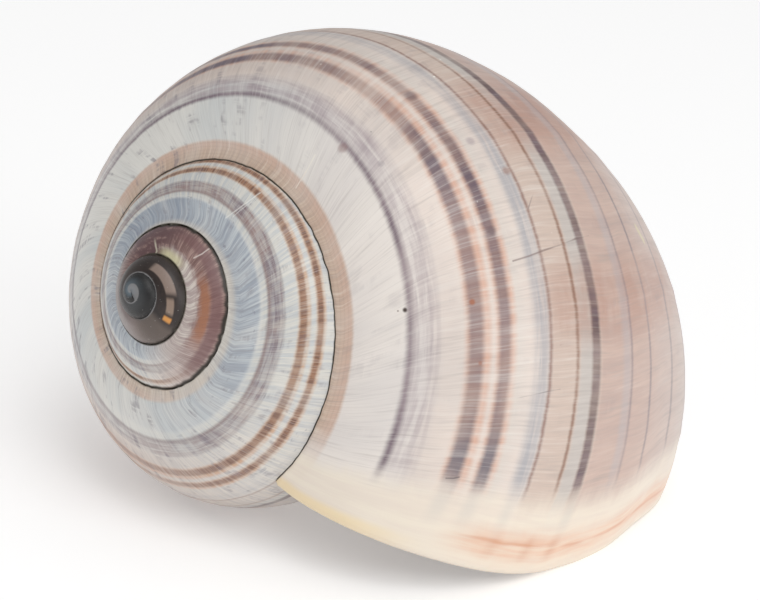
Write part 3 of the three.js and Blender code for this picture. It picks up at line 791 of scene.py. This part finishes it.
    # ---- the sutures: a dark line, wider on the early whorls
    w_out = N.step(u, -0.6, -1.9, 0.13, 0.20)
    s_dark = N.math("SUBTRACT", 1.0, N.math("DIVIDE", top, w_out), clamp=True)
    s_dark = N.mul(N.step(s_dark, 0.0, 0.75), N.step(u, -3.0, -2.7))
    col = N.mix(N.mul(s_dark, N.step(patch, 0.2, 0.5, 0.7, 1.0)), col, srgb(58, 52, 38))
    l_dark = N.math("SUBTRACT", 1.0, N.math("DIVIDE", low, N.mad(N.sub(N.noise(N.vec(N.mul(u, 70.0), 4.4), 1.0, 2.0), 0.5), 0.22, N.step(u, -1.2, -2.1, 0.12, 0.42))), clamp=True)
    l_dark = N.mul(N.step(l_dark, 0.0, 0.8), N.step(u, -3.7, -3.3))
    col = N.mix(l_dark, col, srgb(40, 32, 24))

    # ---- single marks: scratches, a growth crack, stains, specks (mm in the row's frame)
    for path, r, tone, k in (
        (((-13.75, -12.91, 28.21), (-12.93, -12.72, 28.90), (-12.04, -12.31, 29.60), (-11.22, -11.77, 30.17)), 0.070, (236, 234, 228), 0.55),
        (((-13.20, -13.07, 28.41), (-12.54, -12.76, 29.04), (-11.79, -12.42, 29.58)), 0.050, (236, 234, 228), 0.42),
        (((-8.38, -11.92, 30.91), (-8.04, -11.80, 31.58), (-7.69, -11.62, 32.23)), 0.070, (236, 226, 214), 0.65),
        (((-7.69, -11.62, 32.23), (-7.36, -11.34, 32.92), (-7.09, -11.06, 33.53)), 0.055, (240, 234, 220), 0.55),
        (((-16.02, -14.34, 25.11), (-15.42, -14.17, 25.44), (-14.90, -13.81, 25.79)), 0.065, (226, 216, 208), 0.60),
        (((-6.88, -2.89, 39.02), (-6.13, -0.84, 39.58), (-5.36, 2.09, 39.81)), 0.060, (128, 116, 116), 0.45),
        (((9.25, -16.18, 27.84), (10.54, -15.28, 28.05), (11.84, -14.22, 28.30), (13.10, -12.91, 28.36), (14.37, -11.44, 28.46), (15.53, -9.87, 28.26)), 0.085, (124, 104, 100), 0.62),
        (((10.23, -12.74, 31.11), (10.45, -11.87, 31.68), (10.68, -10.93, 32.14)), 0.080, (142, 124, 120), 0.62),
        (((9.31, -20.24, 17.55), (10.91, -19.58, 17.68), (12.77, -18.60, 17.88), (14.01, -17.75, 17.91)), 0.060, (112, 100, 100), 0.48),
        (((8.96, -19.97, 19.46), (10.57, -19.32, 19.52), (12.20, -18.45, 19.58), (13.84, -17.34, 19.71)), 0.055, (122, 110, 110), 0.42),
        (((5.47, -21.46, 10.96), (6.03, -21.38, 10.97), (6.50, -21.31, 11.08)), 0.075, (70, 62, 70), 0.65),
        (((13.67, -16.96, 21.36), (17.09, -13.61, 21.31), (20.78, -8.09, 20.74)), 0.075, (168, 132, 120), 0.40),
        (((20.36, -0.27, 25.97), (21.09, -0.08, 24.90)), 0.420, (218, 206, 168), 0.75),
        (((0.98, -19.18, 24.05),), 0.200, (58, 42, 32), 0.95),
        (((0.44, -19.11, 23.89),), 0.090, (112, 84, 70), 0.80),
        (((6.20, -18.80, 25.06),), 0.260, (164, 98, 66), 0.85),
        (((7.26, -20.18, 20.51),), 0.190, (166, 112, 92), 0.70),
        (((-4.92, -11.35, 34.42),), 0.450, (140, 106, 106), 0.55),
        (((0.23, -7.31, 37.98),), 0.550, (92, 72, 80), 0.50),
        (((5.19, -10.22, 35.48),), 0.420, (148, 132, 142), 0.45),
        (((7.30, -15.44, 29.93),), 0.420, (98, 76, 80), 0.50),
        (((8.26, -11.14, 33.61),), 0.380, (150, 98, 74), 0.50),
        (((-1.82, -12.84, 33.85),), 0.300, (150, 140, 146), 0.40),
        (((2.06, -4.28, 38.81),), 0.120, (244, 240, 232), 0.90),
        (((2.57, -0.64, 39.19),), 0.120, (244, 240, 232), 0.90),
        (((6.02, -14.25, 31.85),), 0.100, (246, 242, 236), 0.95),
        (((12.28, -12.77, 29.27),), 0.100, (244, 236, 230), 0.85),
        (((9.25, -17.36, 25.90),), 0.080, (240, 232, 226), 0.70),
        (((-7.17, -3.51, 38.76),), 0.100, (244, 240, 232), 0.80),
        (((-2.79, -10.67, 35.74),), 0.070, (120, 110, 110), 0.70),
    ):
        here = N.after(rest, col)
        d = N.near(here, path[0], path[1] if len(path) > 1 else None)
        for p, q in zip(path[1:], path[2:]):
            d = N.least(d, N.near(here, p, q))
        col = N.mix(N.mul(N.step(d, r * 1.35, r * 0.45), k), col, srgb(*tone))

    # ---- inside the mouth: pale and glossy, with the bands shining through near the lip
    inside_w = N.window(reg, 0.30, 2.5, 0.06)
    pearl = N.mix(N.step(cloud, 0.35, 0.65), srgb(238, 228, 217), srgb(228, 214, 205))
    pearl = N.mix(N.step(N.sub(g, LIP_U), -0.25, -1.0), pearl, srgb(214, 196, 186))
    pearl = N.mix(N.mul(N.step(reg, 0.62, 0.30), 0.6), pearl, srgb(238, 214, 176))
    through = N.mix(0.24, pearl, col)
    col = N.mix(inside_w, col, N.mix(N.step(reg, 1.4, 1.6), through, N.mix(0.30, srgb(230, 214, 203), col)))
    col = N.mix(N.step(reg, 2.4, 2.6), col, N.mix(N.step(streak, 0.4, 0.6), srgb(236, 226, 214), srgb(226, 212, 200)))

    N.put(bsdf.inputs["Base Color"], col)
    rough = N.mad(N.sub(patch, 0.5), 0.10, 0.36)
    rough = N.add(rough, N.mul(N.sub(fine, 0.5), 0.10))
    rough = N.sub(rough, N.mul(inside_w, 0.15))
    N.put(bsdf.inputs["Roughness"], rough)
    bsdf.inputs["IOR"].default_value = 1.5
    # hairlines of growth and a grain too fine for the mesh
    h = N.add(N.mul(N.sub(fine, 0.5), 0.5), N.mul(N.sub(N.noise(N.vec(N.mul(gw, 900.0), N.mul(a, 12.0)), 1.0, 2.0, 0.6), 0.5), 0.35))
    h = N.add(h, N.mul(N.sub(N.noise(rest, 2.2, 3.0, 0.6), 0.5), 0.25))
    b = t.nodes.new("ShaderNodeBump")
    b.inputs["Strength"].default_value = 0.30
    b.inputs["Distance"].default_value = 0.00006
    N.put(b.inputs["Height"], h)
    t.links.new(b.outputs[0], bsdf.inputs["Normal"])
    return m


mesh.materials.append(shell_material())
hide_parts("shell")
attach(shell, "root")

# ---- floor, lights, camera --------------------------------------------------------------------------
fm = bpy.data.meshes.new("floor")
s = 3.0
fm.from_pydata([(-s, -s, 0), (s, -s, 0), (s, s, 0), (-s, s, 0)], [], [(0, 1, 2, 3)])
floor = bpy.data.objects.new("floor", fm)
scene.collection.objects.link(floor)
mat = bpy.data.materials.new("pale_floor")
mat.use_nodes = True
fb = mat.node_tree.nodes["Principled BSDF"]
fb.inputs["Base Color"].default_value = (0.94, 0.94, 0.94, 1)
fb.inputs["Roughness"].default_value = 0.9
fb.inputs["Specular IOR Level"].default_value = 0.1
fb.inputs["Emission Color"].default_value = (1, 1, 1, 1)
fb.inputs["Emission Strength"].default_value = 0.25
fm.materials.append(mat)

world = bpy.data.worlds.new("studio")
world.use_nodes = True
world.node_tree.nodes["Background"].inputs[0].default_value = (1.0, 1.0, 1.0, 1)
world.node_tree.nodes["Background"].inputs[1].default_value = 0.46
scene.world = world


def softbox(name, place_m, aim, size, watts, tint=(1, 1, 1)):
    d = bpy.data.lights.new(name, "AREA")
    d.shape, d.size, d.size_y = "RECTANGLE", size[0], size[1]
    d.energy, d.color = watts, tint
    o = bpy.data.objects.new(name, d)
    scene.collection.objects.link(o)
    o.location = place_m
    o.rotation_euler = (Vector(aim) - Vector(place_m)).to_track_quat("-Z", "Y").to_euler()
    return o


softbox("overhead", (0.10, -0.02, 0.80), (0, 0, 0.02), (0.8, 0.8), 0.9)
softbox("key", (0.09, -0.40, 0.60), (0, 0, 0.02), (0.34, 0.60), 1.45)
softbox("right", (0.50, -0.45, 0.22), (0, 0, 0.02), (0.35, 0.45), 1.0)

CAM_R = np.array([[0.99584592, -0.08518127, -0.03217237], [0.0, 0.3533314, -0.93549822], [0.09105445, 0.93161208, 0.35186364]])
CAM_T = np.array([-19.761232, 0.722243, 0.0])
pos = (CAM_R @ (np.array([0, 0, 289.2]) - CAM_T) + REST_SHIFT) / 1000
cd = bpy.data.cameras.new("camera")
cd.sensor_width, cd.lens = 36.0, 36.0 * 3615 / 760
cd.clip_start, cd.clip_end = 0.01, 20
cam = bpy.data.objects.new("camera", cd)
scene.collection.objects.link(cam)
mw = Matrix.Identity(4)
for r in range(3):
    for c in range(3):
        mw[r][c] = CAM_R[r][c]
    mw[r][3] = pos[r]
cam.matrix_world = mw
scene.camera = cam
scene.view_settings.view_transform = "Standard"
